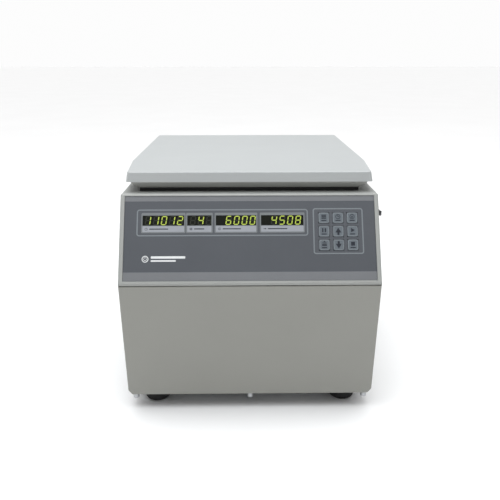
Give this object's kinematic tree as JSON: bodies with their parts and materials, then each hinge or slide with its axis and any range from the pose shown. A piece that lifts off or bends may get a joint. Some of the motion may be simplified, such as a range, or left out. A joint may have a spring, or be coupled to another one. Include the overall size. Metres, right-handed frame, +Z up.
{
  "type": "laboratory centrifuge",
  "caption": "Bench-top laboratory centrifuge with a hinged flat lid, a slanted control panel with digital displays and keys, and a fixed-angle rotor in a steel chamber.",
  "frame": {"origin": "on the bench under the middle of the object's bounding box", "axes": "+X right, +Y back (the control panel faces -Y), +Z up"},
  "size_m": [0.4305, 0.5509, 0.405],
  "materials": {
    "cabinet_paint": "satin",
    "cover_paint": "satin",
    "lid_paint": "satin",
    "zinc_steel": "brushed",
    "bowl_steel": "satin",
    "rotor_alloy": "anodised",
    "motor_alloy": "cast",
    "panel_alloy": "satin",
    "overlay_film": "matte",
    "key_film": "matte",
    "smoked_lens": "smoked",
    "black_plastic": "matte",
    "black_rubber": "matte",
    "liner_plastic": "matte",
    "sleeve_plastic": "satin",
    "circuit_board": "satin",
    "copper_winding": "satin",
    "iron_core": "matte"
  },
  "bodies": {
    "cabinet": {"outer_housing": "cabinet_paint", "front_cover": "cover_paint", "base_pan": "zinc_steel", "rubber_feet": "black_rubber", "foot_screws": "zinc_steel", "front_cover_screws": "zinc_steel", "rear_panel_screws": "zinc_steel", "rear_panel": "cabinet_paint", "fan_frame": "black_plastic", "fan_guard": "zinc_steel", "power_inlet": "black_plastic", "power_switch_frame": "black_plastic", "panel_plate": "panel_alloy", "control_overlay": "overlay_film", "display_lenses": "smoked_lens", "led_display_modules": "black_plastic", "control_board": "circuit_board", "board_standoffs": "zinc_steel", "key_switches": "black_plastic", "chamber_bowl": "bowl_steel", "guard_ring": "zinc_steel", "motor_boot": "black_rubber", "motor_housing": "motor_alloy", "motor_stator": "copper_winding", "motor_bearings": "zinc_steel", "motor_plate": "zinc_steel", "motor_dampers": "black_rubber", "hinge_brackets": "zinc_steel", "torsion_springs": "zinc_steel", "hinge_rod": "zinc_steel", "latch_bracket": "zinc_steel", "latch_pin": "zinc_steel", "latch_solenoid": "zinc_steel", "drive_board": "circuit_board", "drive_heat_sink": "motor_alloy"},
    "lid": {"lid_shell": "lid_paint", "lid_liner": "liner_plastic", "lid_seal": "black_rubber", "lid_striker": "zinc_steel", "hinge_arms": "zinc_steel", "lid_screws": "zinc_steel"},
    "rotor": {"drive_shaft": "zinc_steel", "motor_armature": "iron_core", "rotor_body": "rotor_alloy", "tube_sleeves": "sleeve_plastic", "rotor_nut": "rotor_alloy"},
    "impeller": {"fan_impeller": "black_plastic"},
    "rocker": {"power_switch_rocker": "black_plastic"},
    "hook": {"latch_hook": "zinc_steel"},
    "plunger": {"solenoid_plunger": "zinc_steel"},
    "fuse_holder": {"fuse_drawer": "black_plastic"},
    "key_program": {"key_program": "key_film"},
    "key_timer": {"key_timer": "key_film"},
    "key_speed": {"key_speed": "key_film"},
    "key_brake": {"key_brake": "key_film"},
    "key_up": {"key_up": "key_film"},
    "key_start": {"key_start": "key_film"},
    "key_lid": {"key_lid": "key_film"},
    "key_down": {"key_down": "key_film"},
    "key_stop": {"key_stop": "key_film"}
  },
  "joints": [
    {"name": "lid_hinge", "type": "hinge", "parent": "cabinet", "child": "lid", "pos_m": [0, 0.256, 0.383], "axis": [-1, 0, 0], "range_deg": [0, 75]},
    {"name": "rotor_spin", "type": "hinge", "parent": "cabinet", "child": "rotor", "pos_m": [0, 0.028, 0.2], "axis": [0, 0, 1], "continuous": true},
    {"name": "fan_spin", "type": "hinge", "parent": "cabinet", "child": "impeller", "pos_m": [-0.118, 0.258, 0.112], "axis": [0, 1, 0], "continuous": true},
    {"name": "power_rocker", "type": "hinge", "parent": "cabinet", "child": "rocker", "pos_m": [0.2125, -0.196, 0.337], "axis": [0, 0, -1], "range_deg": [0, 24]},
    {"name": "latch_turn", "type": "hinge", "parent": "cabinet", "child": "hook", "pos_m": [0, -0.165, 0.318], "axis": [1, 0, 0], "range_deg": [0, 13]},
    {"name": "solenoid_slide", "type": "slide", "parent": "cabinet", "child": "plunger", "axis": [0, 1, 0], "range_m": [0, 0.0037]},
    {"name": "fuse_slide", "type": "slide", "parent": "cabinet", "child": "fuse_holder", "axis": [0, 1, 0], "range_m": [0, 0.022]},
    {"name": "key_program_press", "type": "slide", "parent": "cabinet", "child": "key_program", "axis": [0, 0.8774, -0.4798], "range_m": [0, 0.0006], "stiffness_N_per_m": 1500, "springref_m": -0.0008},
    {"name": "key_timer_press", "type": "slide", "parent": "cabinet", "child": "key_timer", "axis": [0, 0.8774, -0.4798], "range_m": [0, 0.0006], "stiffness_N_per_m": 1500, "springref_m": -0.0008},
    {"name": "key_speed_press", "type": "slide", "parent": "cabinet", "child": "key_speed", "axis": [0, 0.8774, -0.4798], "range_m": [0, 0.0006], "stiffness_N_per_m": 1500, "springref_m": -0.0008},
    {"name": "key_brake_press", "type": "slide", "parent": "cabinet", "child": "key_brake", "axis": [0, 0.8774, -0.4798], "range_m": [0, 0.0006], "stiffness_N_per_m": 1500, "springref_m": -0.0008},
    {"name": "key_up_press", "type": "slide", "parent": "cabinet", "child": "key_up", "axis": [0, 0.8774, -0.4798], "range_m": [0, 0.0006], "stiffness_N_per_m": 1500, "springref_m": -0.0008},
    {"name": "key_start_press", "type": "slide", "parent": "cabinet", "child": "key_start", "axis": [0, 0.8774, -0.4798], "range_m": [0, 0.0006], "stiffness_N_per_m": 1500, "springref_m": -0.0008},
    {"name": "key_lid_press", "type": "slide", "parent": "cabinet", "child": "key_lid", "axis": [0, 0.8774, -0.4798], "range_m": [0, 0.0006], "stiffness_N_per_m": 1500, "springref_m": -0.0008},
    {"name": "key_down_press", "type": "slide", "parent": "cabinet", "child": "key_down", "axis": [0, 0.8774, -0.4798], "range_m": [0, 0.0006], "stiffness_N_per_m": 1500, "springref_m": -0.0008},
    {"name": "key_stop_press", "type": "slide", "parent": "cabinet", "child": "key_stop", "axis": [0, 0.8774, -0.4798], "range_m": [0, 0.0006], "stiffness_N_per_m": 1500, "springref_m": -0.0008}
  ],
  "couplings": [
    {"joint": "solenoid_slide", "follows": "latch_turn", "m_per_rad": 0.016}
  ]
}
